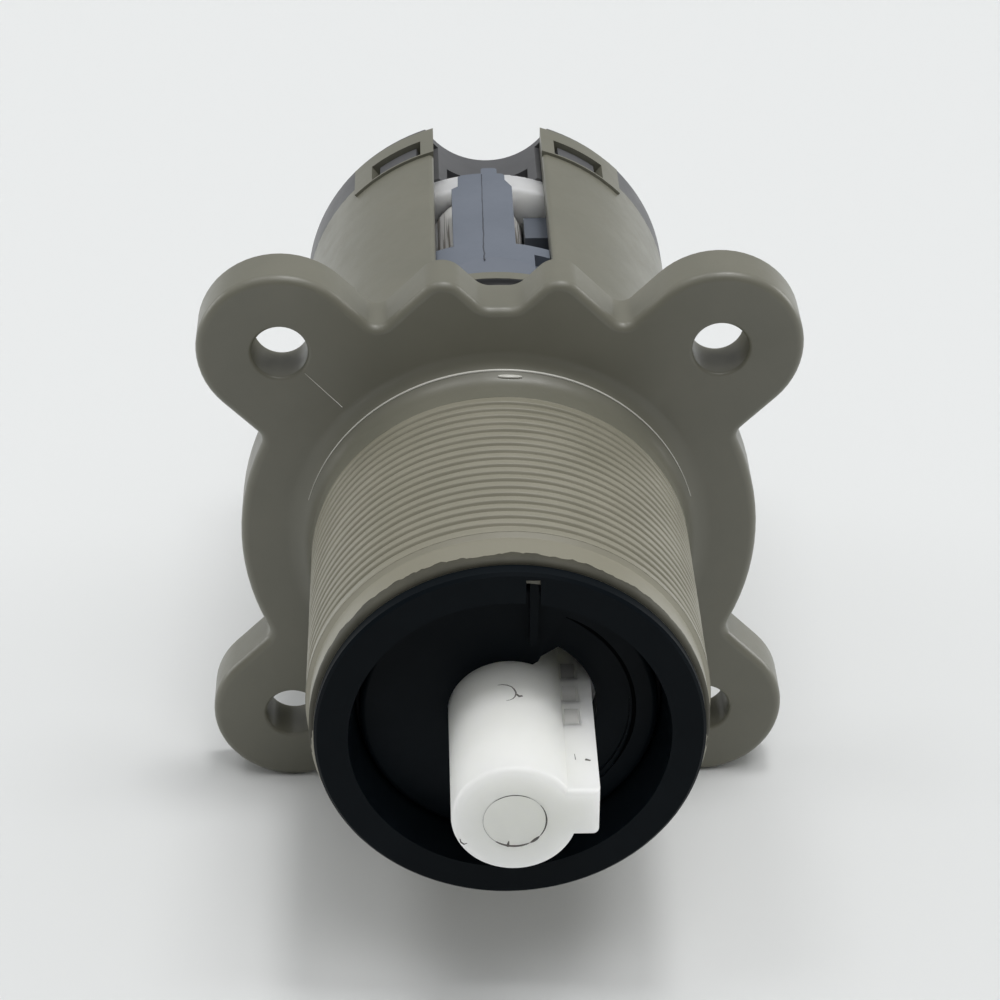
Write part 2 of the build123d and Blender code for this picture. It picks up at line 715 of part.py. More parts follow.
# Carrier: blue-grey manifold with a drum, a key pad and tongue in the top window, and two columns
spigot_groove_root = spigot_radius - spigot_groove_depth
spigot_groove_rear = spigot_groove_y + spigot_groove_width
head_left_x = arm_left_x + head_inset
head_right_x = arm_right_x - head_inset
column_radius = passage_radius + column_wall
with BuildPart() as carrier:
    # Tongue outline from above: straight sides, a shoulder on each, a square head and a small nub
    with BuildSketch(Plane.XY.offset(pad_radius - 2 * arm_thickness)):
        Polygon(
            (arm_left_x, drum_rear_y - join_depth),
            (arm_left_x, arm_shoulder_y),
            (head_left_x, arm_shoulder_y + shoulder_length_left),
            (head_left_x, head_rear_y - head_chamfer),
            (head_left_x + head_chamfer, head_rear_y),
            (head_right_x - head_chamfer, head_rear_y),
            (head_right_x, head_rear_y - head_chamfer),
            (head_right_x, arm_shoulder_y + shoulder_length_right),
            (arm_right_x, arm_shoulder_y),
            (arm_right_x, drum_rear_y - join_depth),
            align=None,
        )
        with Locations((nub_centre_x, (plate_front_y + nub_rear_y) / 2)):
            Rectangle(nub_width, nub_rear_y - plate_front_y)
        fillet(vertices().group_by(Axis.Y)[-1], nub_round)
    extrude(amount=3 * arm_thickness)
    # Its two faces follow the drum's roundness
    tongue_front = drum_rear_y - join_depth - cut_margin
    tongue_rear = nub_rear_y + cut_margin
    with BuildSketch(Plane.XY):
        Polygon(*ring_outline(pad_radius, 2 * pad_radius, tongue_front, tongue_rear), align=None)
        Polygon(*ring_outline(0, pad_radius - arm_thickness, tongue_front, tongue_rear), align=None)
    revolve(axis=Axis.Y, mode=Mode.SUBTRACT)
    # Key pad in the top window, with a sloped front and a lower strip on its right
    with BuildSketch(front_plane(pad_rear_y)):
        Circle(pad_radius)
        with Locations((0, pad_radius)):
            Rectangle(2 * (window_half_width - pad_side_gap), pad_radius, mode=Mode.INTERSECT)
    extrude(amount=pad_rear_y - pad_front_y)
    with BuildSketch(Plane.YZ.offset(-window_half_width)):
        Polygon(
            (pad_slope_y, pad_radius),
            (pad_slope_y, pad_radius + cut_margin),
            (pad_front_y - cut_margin, pad_radius + cut_margin),
            (pad_front_y - cut_margin, pad_radius - pad_front_drop),
            (pad_front_y, pad_radius - pad_front_drop),
            align=None,
        )
    extrude(amount=2 * window_half_width, mode=Mode.SUBTRACT)
    with BuildSketch(front_plane(pad_step_y)):
        with Locations(((pad_right_x + shell_radius) / 2, shell_radius / 2)):
            Rectangle(shell_radius - pad_right_x, shell_radius)
    extrude(amount=pad_step_y - pad_front_y, mode=Mode.SUBTRACT)
    # Root that carries the tongue over the drum
    with BuildSketch(front_plane(drum_rear_y)):
        Circle(pad_radius)
        with Locations(((arm_left_x + arm_right_x) / 2, pad_radius)):
            Rectangle(arm_right_x - arm_left_x, pad_radius, mode=Mode.INTERSECT)
    extrude(amount=drum_rear_y - pad_rear_y)
    # Spigot and drum
    with BuildSketch(Plane.XY):
        Polygon(
            (0, carrier_front),
            (spigot_radius, carrier_front),
            (spigot_radius, spigot_groove_y),
            (spigot_groove_root, spigot_groove_y),
            (spigot_groove_root, spigot_groove_rear),
            (spigot_radius, spigot_groove_rear),
            (spigot_radius, bore_step_y),
            (drum_radius, bore_step_y),
            (drum_radius, drum_rear_y),
            (0, drum_rear_y),
            align=None,
        )
    revolve(axis=Axis.Y)
    # Lugs that key the fixed disc
    with BuildSketch(front_plane(carrier_front)):
        for side in (-1, 1):
            with Locations((0, side * (key_lug_inner_z + spigot_radius) / 2)):
                Rectangle(key_lug_width, spigot_radius - key_lug_inner_z)
        Circle(fixed_disc_radius, mode=Mode.INTERSECT)
    extrude(amount=key_lug_reach)
    # Columns around the hot and cold passages, with a support on each for the inlet plate
    with BuildSketch(front_plane(plate_front_y)):
        for angle in (hot_port_angle, cold_port_angle):
            with Locations(polar(port_circle_radius, angle)):
                Circle(column_radius)
    extrude(amount=plate_front_y - drum_rear_y)
    with BuildSketch(front_plane(plate_front_y)):
        for side in (-1, 1):
            inner_x = sleeve_centre_x + side * (sleeve_radius + support_side_gap)
            centre_z = (support_top_z + column_bottom_z) / 2
            with Locations((inner_x + side * support_width / 2, centre_z)):
                Rectangle(support_width, support_top_z - column_bottom_z)
    extrude(amount=plate_front_y - support_front_y)
    # Bore for the balance sleeve, water passages and their cross drillings
    with BuildSketch(front_plane(drum_rear_y)):
        with Locations((sleeve_centre_x, sleeve_centre_z)):
            Circle(sleeve_radius + sleeve_fit)
    extrude(amount=drum_rear_y - sleeve_front_y, mode=Mode.SUBTRACT)
    with BuildSketch(front_plane(plate_front_y)):
        for angle in port_angles:
            with Locations(polar(port_circle_radius, angle)):
                Circle(passage_radius)
    extrude(amount=plate_front_y - carrier_front, mode=Mode.SUBTRACT)
    for angle, station in cross_drillings:
        with BuildSketch(cross_plane(angle, station)):
            Circle(cross_port_radius)
        extrude(amount=cross_length(angle), mode=Mode.SUBTRACT)
    with BuildSketch(front_plane(carrier_front + port_seal_groove_depth)):
        for angle in port_angles:
            with Locations(polar(port_circle_radius, angle)):
                Circle(port_seal_outer)
    extrude(amount=port_seal_groove_depth, mode=Mode.SUBTRACT)
carrier.part.label = "carrier"
export_step(carrier.part, "parts/carrier.step")

# O-ring of the carrier's spigot
spigot_section = (seal_bore_radius - spigot_groove_root) / 2 - oring_gap
spigot_ring_radius = (seal_bore_radius + spigot_groove_root) / 2
with BuildPart() as carrier_oring:
    with BuildSketch(Plane.XY):
        with Locations((spigot_ring_radius, spigot_groove_y + spigot_groove_width / 2)):
            Circle(spigot_section)
    revolve(axis=Axis.Y)
carrier_oring.part.label = "carrier_oring"
export_step(carrier_oring.part, "parts/carrier_oring.step")

# Balance sleeve: stainless tube with O-ring grooves and two cross ports
sleeve_groove_root = sleeve_radius - sleeve_groove_depth
with BuildPart() as balance_sleeve:
    with BuildSketch(front_plane(sleeve_rear)):
        with Locations(sleeve_centre):
            Circle(sleeve_radius)
            Circle(sleeve_bore_radius, mode=Mode.SUBTRACT)
    extrude(amount=sleeve_rear - sleeve_front_y)
    for station in sleeve_grooves:
        with BuildSketch(front_plane(station + sleeve_groove_width)):
            with Locations(sleeve_centre):
                Circle(sleeve_radius + cut_margin)
                Circle(sleeve_groove_root, mode=Mode.SUBTRACT)
        extrude(amount=sleeve_groove_width, mode=Mode.SUBTRACT)
    for angle, station in cross_drillings:
        with BuildSketch(cross_plane(angle, station)):
            Circle(cross_port_radius)
        extrude(amount=sleeve_radius + cut_margin, mode=Mode.SUBTRACT)
balance_sleeve.part.label = "balance_sleeve"
export_step(balance_sleeve.part, "parts/balance_sleeve.step")

# The sleeve's O-rings, one in each groove
sleeve_section = min((sleeve_groove_depth - oring_gap) / 2, sleeve_groove_width / 2 - oring_gap)
with BuildPart() as sleeve_orings:
    for station in sleeve_grooves:
        middle = station + sleeve_groove_width / 2
        with BuildSketch(Plane.XY.offset(sleeve_centre_z)):
            with Locations((sleeve_centre_x + sleeve_radius - sleeve_section, middle)):
                Circle(sleeve_section)
        revolve(axis=sleeve_axis)
sleeve_orings.part.label = "sleeve_orings"
export_step(sleeve_orings.part, "parts/sleeve_orings.step")

# Balance spool: three lands on a waist, free to slide between the carrier and the plug
chamber_length = plug_front - sleeve_front_y
spool_length = chamber_length - 2 * (spool_travel + spool_spare)
spool_front = sleeve_front_y + spool_travel + spool_spare
spool_rear = spool_front + spool_length
spool_radius = sleeve_bore_radius - spool_fit
with BuildPart() as balance_spool:
    with BuildSketch(front_plane(spool_rear)):
        with Locations(sleeve_centre):
            Circle(spool_waist_radius)
    extrude(amount=spool_length)
    middle_land_rear = (spool_front + spool_rear + land_length) / 2
    for land_rear in (spool_rear, middle_land_rear, spool_front + land_length):
        with BuildSketch(front_plane(land_rear)):
            with Locations(sleeve_centre):
                Circle(spool_radius)
        extrude(amount=land_length)
    for bore_rear in (spool_rear, spool_front + spool_end_bore_depth):
        with BuildSketch(front_plane(bore_rear)):
            with Locations(sleeve_centre):
                Circle(spool_end_bore_radius)
        extrude(amount=spool_end_bore_depth, mode=Mode.SUBTRACT)
balance_spool.part.label = "balance_spool"
export_step(balance_spool.part, "parts/balance_spool.step")

# Plug that closes the sleeve's rear end
with BuildPart() as sleeve_plug:
    with BuildSketch(front_plane(sleeve_rear)):
        with Locations(sleeve_centre):
            Circle(sleeve_bore_radius - oring_gap)
    extrude(amount=plug_length)
    with BuildSketch(front_plane(sleeve_rear)):
        with Locations(sleeve_centre):
            RegularPolygon(plug_socket_radius, 6)
    extrude(amount=plug_length / 2, mode=Mode.SUBTRACT)
sleeve_plug.part.label = "sleeve_plug"
export_step(sleeve_plug.part, "parts/sleeve_plug.step")

# Inlet plate: white disc that holds the sleeve and joins the cap's inlets to the columns
with BuildPart() as inlet_plate:
    with BuildSketch(front_plane(plate_rear)):
        Circle(plate_radius)
    extrude(amount=plate_thickness)
    fillet(edges(), plate_edge_round)
    with BuildSketch(front_plane(plate_rear)):
        with Locations(sleeve_centre):
            Circle(sleeve_radius + sleeve_fit)
        with Locations(*inlet_centres):
            Circle(passage_radius)
    extrude(amount=plate_thickness, mode=Mode.SUBTRACT)
inlet_plate.part.label = "inlet_plate"
export_step(inlet_plate.part, "parts/inlet_plate.step")

# Two rubber rings between the inlet plate and the end cap
plate_seal_outer = passage_radius + plate_seal_wall
with BuildPart() as plate_seals:
    with BuildSketch(front_plane(plate_rear + plate_seal_thickness)):
        with Locations(*inlet_centres):
            Circle(plate_seal_outer - oring_gap)
            Circle(passage_radius + oring_gap, mode=Mode.SUBTRACT)
    extrude(amount=plate_seal_thickness)
plate_seals.part.label = "plate_seals"
export_step(plate_seals.part, "parts/plate_seals.step")

# End cap: dark grey rear cover with snap hooks, a top notch and the two inlets
seal_floor = cap_rear - inlet_seal_pocket
port_floor = seal_floor - inlet_port_depth
screen_seat = port_floor - screen_thickness
with BuildPart() as end_cap:
    with BuildSketch(front_plane(shell_length)):
        Circle(cap_spigot_radius)
    extrude(amount=shell_length - plate_rear)
    with BuildSketch(front_plane(cap_rear)):
        Circle(shell_radius)
    extrude(amount=cap_thickness)
    fillet(faces().sort_by(Axis.Y)[-1].edges(), cap_edge_round)
    # Pockets for the shell's tabs
    pocket_inner_angle = window_angle - tab_side_clearance
    pocket_outer_angle = tab_outer_angle + tab_side_clearance
    with BuildSketch(front_plane(tab_rear + tab_end_clearance)):
        sector_copies(shell_radius, pocket_inner_angle, pocket_outer_angle)
        Circle(cap_spigot_radius, mode=Mode.SUBTRACT)
    extrude(amount=tab_length + tab_end_clearance, mode=Mode.SUBTRACT)
    # Snap hooks in the tabs' slots
    hook_inner_angle = slot_inner_angle + hook_side_clearance
    hook_outer_angle = slot_outer_angle - hook_side_clearance
    with BuildSketch(front_plane(slot_y + slot_width - hook_end_clearance)):
        sector_copies(hook_radius, hook_inner_angle, hook_outer_angle)
        Circle(hook_radius, mode=Mode.INTERSECT)
        Circle(cap_spigot_radius - join_depth, mode=Mode.SUBTRACT)
    extrude(amount=slot_width - 2 * hook_end_clearance)
    # Notch through the top, with a small relief beside each pillar that it leaves
    with BuildSketch(front_plane(cap_rear)):
        with Locations((0, cap_notch_centre_z)):
            Circle(cap_notch_radius)
    extrude(amount=cap_rear - plate_rear, mode=Mode.SUBTRACT)
    with BuildSketch(front_plane(plate_rear + cap_relief_depth)):
        for side in (-1, 1):
            Polygon(
                (side * cap_relief_inner_x, cap_relief_apex_z),
                (side * cap_relief_outer_x, cap_relief_apex_z - cap_relief_slant),
                (side * cap_relief_outer_x, cap_relief_top_z),
                (side * cap_relief_inner_x, cap_relief_top_z),
                align=None,
            )
    extrude(amount=cap_relief_depth, mode=Mode.SUBTRACT)
    # Inlets: seal pocket, port, screen seat and passage
    for rear, front, radius in (
        (cap_rear, seal_floor, inlet_seal_radius),
        (seal_floor, port_floor, inlet_port_radius),
        (port_floor, screen_seat, screen_radius),
        (screen_seat, plate_rear, passage_radius),
    ):
        with BuildSketch(front_plane(rear)):
            with Locations(*inlet_centres):
                Circle(radius)
        extrude(amount=rear - front, mode=Mode.SUBTRACT)
    with BuildSketch(front_plane(plate_rear + plate_seal_thickness)):
        with Locations(*inlet_centres):
            Circle(plate_seal_outer)
    extrude(amount=plate_seal_thickness, mode=Mode.SUBTRACT)
end_cap.part.label = "end_cap"
export_step(end_cap.part, "parts/end_cap.step")

# A face seal and a strainer screen in each inlet
for name, centre in zip(("hot", "cold"), inlet_centres):
    with BuildPart() as inlet_seal:
        with BuildSketch(front_plane(cap_rear + inlet_seal_rise)):
            with Locations(centre):
                Circle(inlet_seal_radius - running_gap)
                Circle(inlet_seal_bore, mode=Mode.SUBTRACT)
        extrude(amount=inlet_seal_pocket + inlet_seal_rise)
        fillet(faces().sort_by(Axis.Y)[-1].edges(), inlet_seal_round)
    inlet_seal.part.label = f"inlet_seal_{name}"
    export_step(inlet_seal.part, f"parts/inlet_seal_{name}.step")
    with BuildPart() as inlet_screen:
        with BuildSketch(front_plane(port_floor)):
            with Locations(centre):
                Circle(screen_radius - oring_gap)
            for row in range(screen_rows):
                for column in range(screen_rows):
                    x = (column - (screen_rows - 1) / 2) * screen_pitch
                    z = (row - (screen_rows - 1) / 2) * screen_pitch
                    if hypot(x, z) + screen_hole < screen_radius:
                        with Locations((centre[0] + x, centre[1] + z)):
                            Rectangle(screen_hole, screen_hole, mode=Mode.SUBTRACT)
        extrude(amount=screen_thickness)
    inlet_screen.part.label = f"inlet_screen_{name}"
    export_step(inlet_screen.part, f"parts/inlet_screen_{name}.step")

# Large O-ring around the shell, behind the flange
body_ring_radius = body_groove_root + oring_gap + body_oring_section / 2
with BuildPart() as body_oring:
    with BuildSketch(Plane.XY):
        with Locations((body_ring_radius, body_groove_y + body_groove_width / 2)):
            Circle(body_oring_section / 2)
    revolve(axis=Axis.Y)
body_oring.part.label = "body_oring"
export_step(body_oring.part, "parts/body_oring.step")
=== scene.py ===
"""Looks of the pressure-balance shower valve cartridge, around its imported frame, in metres."""
import json
import random
from math import cos, pi, radians, sin

import bpy
from mathutils import Matrix, Vector


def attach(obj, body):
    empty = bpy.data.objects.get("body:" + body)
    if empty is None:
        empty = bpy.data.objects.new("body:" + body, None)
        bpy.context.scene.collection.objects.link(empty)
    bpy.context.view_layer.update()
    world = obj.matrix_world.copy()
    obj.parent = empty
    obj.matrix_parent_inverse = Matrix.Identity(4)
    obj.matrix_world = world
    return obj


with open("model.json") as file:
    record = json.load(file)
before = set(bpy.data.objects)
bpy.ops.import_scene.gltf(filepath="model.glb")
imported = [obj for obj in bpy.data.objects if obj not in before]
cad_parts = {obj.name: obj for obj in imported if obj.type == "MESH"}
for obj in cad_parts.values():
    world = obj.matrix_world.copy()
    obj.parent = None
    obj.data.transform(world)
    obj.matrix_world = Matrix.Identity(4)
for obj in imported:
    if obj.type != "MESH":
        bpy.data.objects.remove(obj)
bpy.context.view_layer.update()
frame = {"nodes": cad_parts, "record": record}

# Lengths are in millimetres in the frame's axes, and MM turns them into metres. Only what the
# materials and modifiers hold, such as the scale of a noise, is given in metres.
MM = 0.001
FRONT = (0, -1, 0)
UP = (0, 0, 1)

# Camera solved from the photograph, with its angles in radians
CAMERA_PLACE = (-9.34, -289.63, 180.31)
CAMERA_YAW = 0.033
CAMERA_TILT = 0.5531
CAMERA_ROLL = 0.007
CAMERA_LENS = 109.58
SENSOR_WIDTH = 36
CLIP_START = 10

# Studio: the floor, and the surroundings' strength in front, behind, at the sides and above
FLOOR_Z = -32.5
FLOOR_REACH = 3000
FLOOR_COLOUR = (0.745, 0.755, 0.752)
WORLD_COLOUR = (0.97, 0.985, 1.0)
WORLD_FRONT = 0.02
WORLD_BACK = 0.36
WORLD_SIDES = 0.07
WORLD_TOP = 0.46
# Parts of a direction's Y, |X| and Z over which the surroundings grow brighter
BACK_SPAN = (-0.35, 0.75)
SIDES_SPAN = (0.2, 0.9)
TOP_SPAN = (0.45, 0.85)
# Lamps: direction, width in degrees and share of a full light
LAMPS = {
    "key": ((0.114, 0.06, 1.0), 10, 0.22),
    "key_front": ((0.114, -0.38, 1.0), 26, 0.16),
    "upper_left": ((-0.36, 0.02, 0.93), 16, 0.10),
    "upper_right": ((0.34, 0.02, 0.94), 16, 0.13),
    "side_left": ((-0.95, 0.35, 0.16), 34, 0.25),
    "side_right": ((0.93, 0.4, 0.16), 34, 0.34),
}

# Moulded plastics: colour, second tint, roughness and gloss
PLASTICS = {
    "olive_plastic": ((0.163, 0.160, 0.126), (0.179, 0.174, 0.137), 0.34, 0.5),
    "worn_olive_plastic": ((0.235, 0.224, 0.170), (0.262, 0.248, 0.192), 0.46, 0.5),
    # A darker copy of the olive: painted shade, on the collar's lip
    "shaded_olive_plastic": ((0.052, 0.050, 0.037), (0.080, 0.076, 0.057), 0.6, 0.25),
    # A pale copy of the olive: painted highlights, on the collar's bead, vestige and witness line
    "painted_highlight_olive_plastic": ((0.62, 0.61, 0.55), (0.70, 0.69, 0.64), 0.2, 0.5),
    "black_plastic": ((0.0028, 0.0048, 0.0066), (0.0040, 0.0062, 0.0084), 0.42, 0.06),
    # A darker copy of the black: painted shadow on the limit stop's step and painted shade in the
    # notch
    "shaded_black_plastic": ((0.0006, 0.0008, 0.0010), (0.0010, 0.0014, 0.0018), 0.7, 0.02),
    "white_plastic": ((0.80, 0.805, 0.765), (0.83, 0.835, 0.80), 0.42, 0.5),
    # A darker copy of the white: painted shade on the teeth's floors, also used for the gate's ring
    "shaded_white_plastic": ((0.42, 0.42, 0.40), (0.50, 0.50, 0.48), 0.55, 0.5),
    "blue_grey_plastic": ((0.132, 0.150, 0.184), (0.148, 0.167, 0.203), 0.45, 0.5),
    # A darker grey: painted shade, on the tongue's parting line
    "shaded_grey_plastic": ((0.035, 0.040, 0.050), (0.060, 0.066, 0.078), 0.6, 0.5),
    "dark_grey_plastic": ((0.085, 0.086, 0.090), (0.098, 0.099, 0.103), 0.45, 0.5),
    # Grime for the stem's marks, and painted shade in the deepest corners of the fin's teeth
    "grime_and_painted_shade": ((0.065, 0.060, 0.054), (0.15, 0.14, 0.13), 0.7, 0.5),
}
# Roughness of a plastic's smoothest patches below its own, and of its roughest patches above it
PATCH_BELOW = 0.05
PATCH_ABOVE = 0.07
WORN_NOSE_COLOUR = (0.245, 0.233, 0.180)
WORN_NOSE_BLEND = 0.4
TRANSLUCENT_DEPTH = 0.010
TRANSLUCENT_RADIUS = (1.0, 1.0, 0.95)
# Steels: metallic share, and the colours of the dark and the light streaks
STEELS = {
    "stainless_steel": (0.9, (0.42, 0.41, 0.39), (0.74, 0.73, 0.71)),
    # Mostly diffuse and near white: painted glints on the balance sleeve
    "painted_glint_steel": (0.1, (0.30, 0.27, 0.23), (0.97, 0.96, 0.93)),
}
# Crease angle in radians, and the nodes whose material or crease angle isn't the usual one
CREASE_ANGLE = 0.6
CREASE_ANGLE_BY_NODE = {"carrier": 0.2}
MATERIAL_BY_NODE = {"balance_sleeve": "painted_glint_steel"}
WELD_REACH = 1e-6

# Collar thread, with 18 turns to the inch
THREAD_MAJOR = 20.6375
THREAD_PITCH = 25.4 / 18
THREAD_FRONT = -36.2
THREAD_REAR = -10.4
THREAD_STEPS = 216
ROWS_PER_PITCH = 16
CREST_WEAR = 0.03
# Height of the crests' waves along the axis and around it, and how closely they follow one another
WAVER_ALONG = 0.012
WAVES_ALONG = 7
WAVER_AROUND = 0.010
WAVES_AROUND = 11
WAVES_TWIST = 5
GROOVE_WIDTH = 0.72
GROOVE_DEPTH = 0.45
GROOVE_ROUNDNESS = 1.3

# Collar nose, with the ragged lip over its front edge
NOSE_RADIUS = 20.1975
NOSE_REAR = -37.0
NOSE_FACE = -41.6
CHAMFER = 0.45
CHAMFER_REAR = -41.15
LIP_SEED = 7
LIP_STEPS = 238
LIP_START = -8
LIP_SWEEP = 196
LIP_REACH = 0.95
LIP_LEAST_REACH = 0.05
LIP_FADE = 0.8
LIP_RAG = 0.16
LIP_RAG_KEPT = 0.6
LIP_THICKNESS = 0.05
LIP_SINK = 0.03
LIP_EDGE_SINK = 0.06
LIP_EDGE = 0.08
# The lip reaches further back on the left, past an angle in degrees
LEFT_START = 100
LEFT_SPREAD = 15
LEFT_REACH = 0.45

# Section of a raised strip: shares of its width out to its edge and its crest, and how far its
# edge is sunk
STRIP_EDGE = 0.5
STRIP_CREST = 0.3
STRIP_SINK = 0.04

# Collar foot: a bead in its fillet and a gate's vestige, as x, y and width, and a witness line on
# the flange, as x, y, z and width
# The bead, the vestige and the witness line are drawn in a pale olive that paints highlights
BEAD_RADIUS = 21.62
BEAD_Y = -6.38
BEAD_NORMAL = (0.67, -0.74)
BEAD_START = 15
BEAD_STEP = 3
BEAD_POINTS = 51
BEAD_END_WIDTH = 0.06
BEAD_SWELL = 0.24
BEAD_HEIGHT = 0.08
VESTIGE_RADIUS = 21.16
VESTIGE_LEAN = -8
VESTIGE = (
    (-0.3, -6.95, 0.2), (0.1, -6.95, 0.46), (0.6, -6.95, 0.55),
    (1.2, -6.95, 0.55), (1.8, -6.95, 0.46), (2.25, -6.95, 0.2),
)
WITNESS_LINE = (
    (-20.9, -5.6, 21.0, 0.10), (-19.6, -5.6, 19.6, 0.12),
    (-18.3, -5.6, 18.2, 0.12), (-17.0, -5.6, 16.8, 0.10),
)

# Stem, with the teeth of its fin
STEM_RADIUS = 6.15
STEM_TIP = -56.6
FIN_TOP = 3.4
TOOTH_COUNT = 3
TOOTH_DEPTH = 0.9
TOOTH_LENGTH = 3.2
TOOTH_PITCH = 3.95
TOOTH_MIDDLE = 6.0
# The teeth's floors and their deepest corners get strips of painted shade
TOOTH_FLOOR_WIDTH = 1.86
TOOTH_FLOOR_START = 0.02
TOOTH_FLOOR_SHARE = 0.85
TOOTH_CREASE_ENDS = (5.08, 6.92)
TOOTH_CREASE_WIDTH = 0.2
TOOTH_CREASE_INSET = 0.1
TOOTH_CREASE_RISE = 0.03
FIRST_TOOTH = -45.5

# Marks on the stem: the gate's ring with dark arcs, given by their first and last degree and the
# width in their middle; an ejector's half ring with a speck beside it, as x, y and width; nicks on
# the tip and the fin, as x, y, z and width
STEM_SEED = 3
GATE_RADIUS = 3.08
GATE_Y = STEM_TIP + 0.02
GATE_RING_STEP = 5
GATE_RING_WIDTHS = (0.05, 0.09)
GATE_ARC_STEP = 4
GATE_ARC_END_WIDTH = 0.03
GATE_ARC_ROUNDNESS = 0.6
GATE_ARC_RAG = 0.03
GATE_ARCS = ((38, -36, 0.14), (-38, -60, 0.30), (-62, -128, 0.17), (130, 62, 0.10))
EJECTOR_RING = (
    (-1.28, -42.43, 0.06), (-0.8, -42.45, 0.14), (-0.33, -42.62, 0.16), (0.08, -42.92, 0.15),
    (0.31, -43.29, 0.20), (0.47, -43.79, 0.24), (0.48, -44.1, 0.22), (0.37, -44.57, 0.16),
    (0.16, -44.93, 0.12), (-0.14, -45.16, 0.08), (-0.51, -45.23, 0.05),
)
SPECK = ((0.56, -44.2, 0.26), (0.8, -44.5, 0.40), (1.1, -44.35, 0.26))
TIP_BURR = (
    (-0.55, STEM_TIP, -2.45, 0.10), (-0.62, STEM_TIP, -2.8, 0.24), (-0.66, STEM_TIP, -3.1, 0.30),
)
TIP_NICK = (
    (-5.3, STEM_TIP, -2.1, 0.08), (-5.2, STEM_TIP, -2.5, 0.14),
    (-4.9, STEM_TIP, -2.75, 0.14), (-4.6, STEM_TIP, -2.6, 0.08),
)
FIN_TICK = ((6.0, -50.5, FIN_TOP, 0.08), (6.05, -51.4, FIN_TOP, 0.12))
FIN_NICK = ((7.0, -51.4, FIN_TOP, 0.40), (7.5, -51.6, FIN_TOP, 0.22))

# Parting line on the tongue in the window
TONGUE_SEED = 5
TONGUE_RADIUS = 21.3
TONGUE_REAR = 42.4
TONGUE_STEP = 0.8
TONGUE_STEPS = 28
TONGUE_ROUGH_FROM = 16
TONGUE_ROUGH_SPREAD = 3
TONGUE_X = -0.9
TONGUE_SLANT = 0.2
TONGUE_WAVER = 0.02
TONGUE_LINE_WIDTH = 0.08
TONGUE_LINE_GROWTH = 0.1
TONGUE_LINE_RAG = 0.05

# Line of painted shadow along the limit stop's curved step, which widens by a length at each step
# from both ends, and painted shade in the bonnet's notch
STOP_STEP_RADIUS = 12.75
STOP_STEP_FACE = -38.6
STOP_STEP_START = 64
STOP_STEP_TURN = 3
STOP_STEP_COUNT = 32
SHADOW_LINE_END_WIDTH = 0.1
SHADOW_LINE_WIDTH = 0.42
SHADOW_LINE_GROWTH = (0.08, 0.05)
NOTCH_X = 2.125
NOTCH_Z = 18.35
NOTCH_HALF = 0.75
NOTCH_SHADE_WIDTH = 1.2


def add_camera():
    """The camera looks along its yaw and tilt, turned a little about its own line of sight."""
    ahead = Vector((
        sin(CAMERA_YAW) * cos(CAMERA_TILT),
        cos(CAMERA_YAW) * cos(CAMERA_TILT),
        -sin(CAMERA_TILT),
    ))
    level = Vector((cos(CAMERA_YAW), -sin(CAMERA_YAW), 0))
    upward = level.cross(ahead)
    right = cos(CAMERA_ROLL) * level + sin(CAMERA_ROLL) * upward
    up = cos(CAMERA_ROLL) * upward - sin(CAMERA_ROLL) * level
    data = bpy.data.cameras.new("camera")
    data.lens = CAMERA_LENS
    data.sensor_width = SENSOR_WIDTH
    data.clip_start = CLIP_START * MM
    camera = bpy.data.objects.new("camera", data)
    bpy.context.scene.collection.objects.link(camera)
    turn = Matrix((right, up, -ahead)).transposed().to_4x4()
    camera.matrix_world = Matrix.Translation(Vector(CAMERA_PLACE) * MM) @ turn
    bpy.context.scene.camera = camera


def new_material(name):
    """A node material, with its tree and its principled shader."""
    material = bpy.data.materials.new(name)
    material.use_nodes = True
    tree = material.node_tree
    shader = tree.nodes["Principled BSDF"]
    return material, tree, shader


def add_noise(tree, scale, detail=3.0, roughness=0.5, stretch=(1, 1, 1)):
    """Noise in object space; scale counts features per metre."""
    where = tree.nodes.new("ShaderNodeTexCoord")
    mapping = tree.nodes.new("ShaderNodeMapping")
    mapping.inputs["Scale"].default_value = stretch
    noise = tree.nodes.new("ShaderNodeTexNoise")
    noise.inputs["Scale"].default_value = scale
    noise.inputs["Detail"].default_value = detail
    noise.inputs["Roughness"].default_value = roughness
    tree.links.new(where.outputs["Object"], mapping.inputs["Vector"])
    tree.links.new(mapping.outputs["Vector"], noise.inputs["Vector"])
    return noise.outputs["Fac"]


def add_range(tree, value, span, onto=(0.0, 1.0)):
    """Maps a value from one range onto another, clamped."""
    node = tree.nodes.new("ShaderNodeMapRange")
    tree.links.new(value, node.inputs["Value"])
    for name, number in zip(("From Min", "From Max", "To Min", "To Max"), (*span, *onto)):
        node.inputs[name].default_value = number
    return node.outputs["Result"]


def add_mix(tree, factor, first, second):
    """Mixes two colours, given as sockets or as tuples."""
    node = tree.nodes.new("ShaderNodeMix")
    node.data_type = "RGBA"
    tree.links.new(factor, node.inputs["Factor"])
    for socket, value in ((node.inputs["A"], first), (node.inputs["B"], second)):
        if isinstance(value, tuple):
            socket.default_value = (*value, 1)
        else:
            tree.links.new(value, socket)
    return node.outputs["Result"]


def add_bump(tree, shader, height, distance):
    """Bump from a height socket; distance is in metres."""
    node = tree.nodes.new("ShaderNodeBump")
    node.inputs["Distance"].default_value = distance
    tree.links.new(height, node.inputs["Height"])
    tree.links.new(node.outputs["Normal"], shader.inputs["Normal"])


